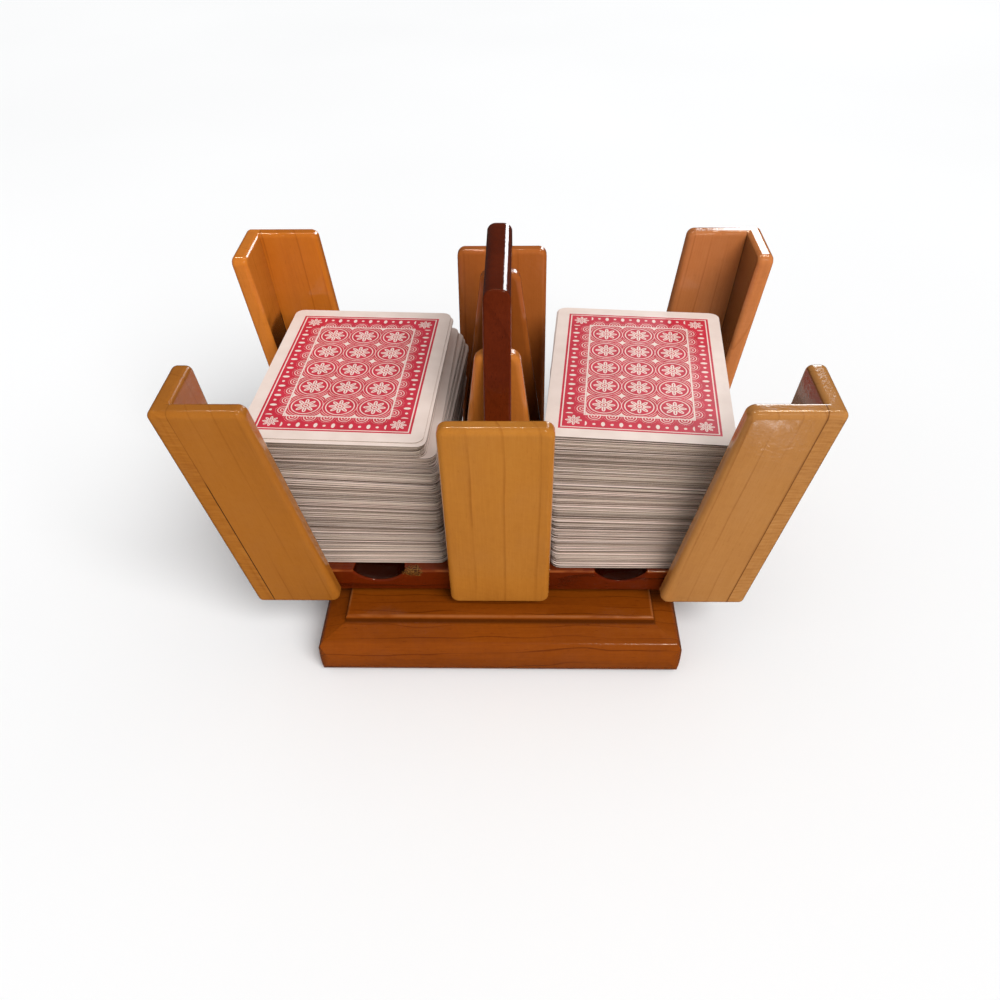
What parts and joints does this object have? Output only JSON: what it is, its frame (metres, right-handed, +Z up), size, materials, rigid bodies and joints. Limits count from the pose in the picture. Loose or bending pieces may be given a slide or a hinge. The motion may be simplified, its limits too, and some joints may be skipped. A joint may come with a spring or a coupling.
{
  "type": "revolving playing card tray",
  "caption": "Open two-bay wooden tray for piles of playing cards, with flared corner posts and a handle panel, turning on a moulded square base.",
  "frame": {"origin": "on the table, under the centre of the base, on the axis the tray turns about", "axes": "+X to the right through both card bays, +Y from the front to the rear, +Z up; front and rear are alike"},
  "size_m": [0.2068, 0.1344, 0.1358],
  "materials": {
    "pale_wood": "amber gloss lacquer on maple",
    "dark_wood": "gloss lacquer on dark red-brown hardwood",
    "base_wood": "gloss lacquer on red-brown hardwood",
    "card_stock": "coated card, white edges",
    "felt": "pressed felt",
    "bearing_steel": "zinc-plated pressed steel",
    "ball_steel": "polished steel",
    "screw_brass": "plain brass"
  },
  "bodies": {
    "base": {"base_board": "base_wood", "felt_pads": "felt", "bearing_lower_plate": "bearing_steel", "bearing_balls": "ball_steel", "base_screws": "screw_brass"},
    "tray": {"bearing_upper_plate": "bearing_steel", "tray_screws": "screw_brass", "panel_screws": "screw_brass", "tray_board": "dark_wood", "handle_panel": "dark_wood", "rear_rib": "pale_wood", "front_rib": "pale_wood", "rear_middle_plate": "pale_wood", "front_middle_plate": "pale_wood", "rear_right_side_plate": "pale_wood", "rear_right_face_plate": "pale_wood", "rear_left_side_plate": "pale_wood", "rear_left_face_plate": "pale_wood", "front_right_side_plate": "pale_wood", "front_right_face_plate": "pale_wood", "front_left_side_plate": "pale_wood", "front_left_face_plate": "pale_wood"},
    "left_cards": {"left_deck_1": "card_stock", "left_deck_2": "card_stock", "left_deck_3": "card_stock", "left_deck_4": "card_stock"},
    "right_cards": {"right_deck_1": "card_stock", "right_deck_2": "card_stock", "right_deck_3": "card_stock", "right_deck_4": "card_stock"}
  },
  "joints": [
    {"name": "tray_turn", "type": "hinge", "parent": "base", "child": "tray", "pos_m": [0, 0, 0.0184], "axis": [0, 0, 1], "continuous": true},
    {"name": "left_cards_lift", "type": "slide", "parent": "tray", "child": "left_cards", "axis": [0, 0, 1], "range_m": [0, 0.11]},
    {"name": "right_cards_lift", "type": "slide", "parent": "tray", "child": "right_cards", "axis": [0, 0, 1], "range_m": [0, 0.11]}
  ]
}
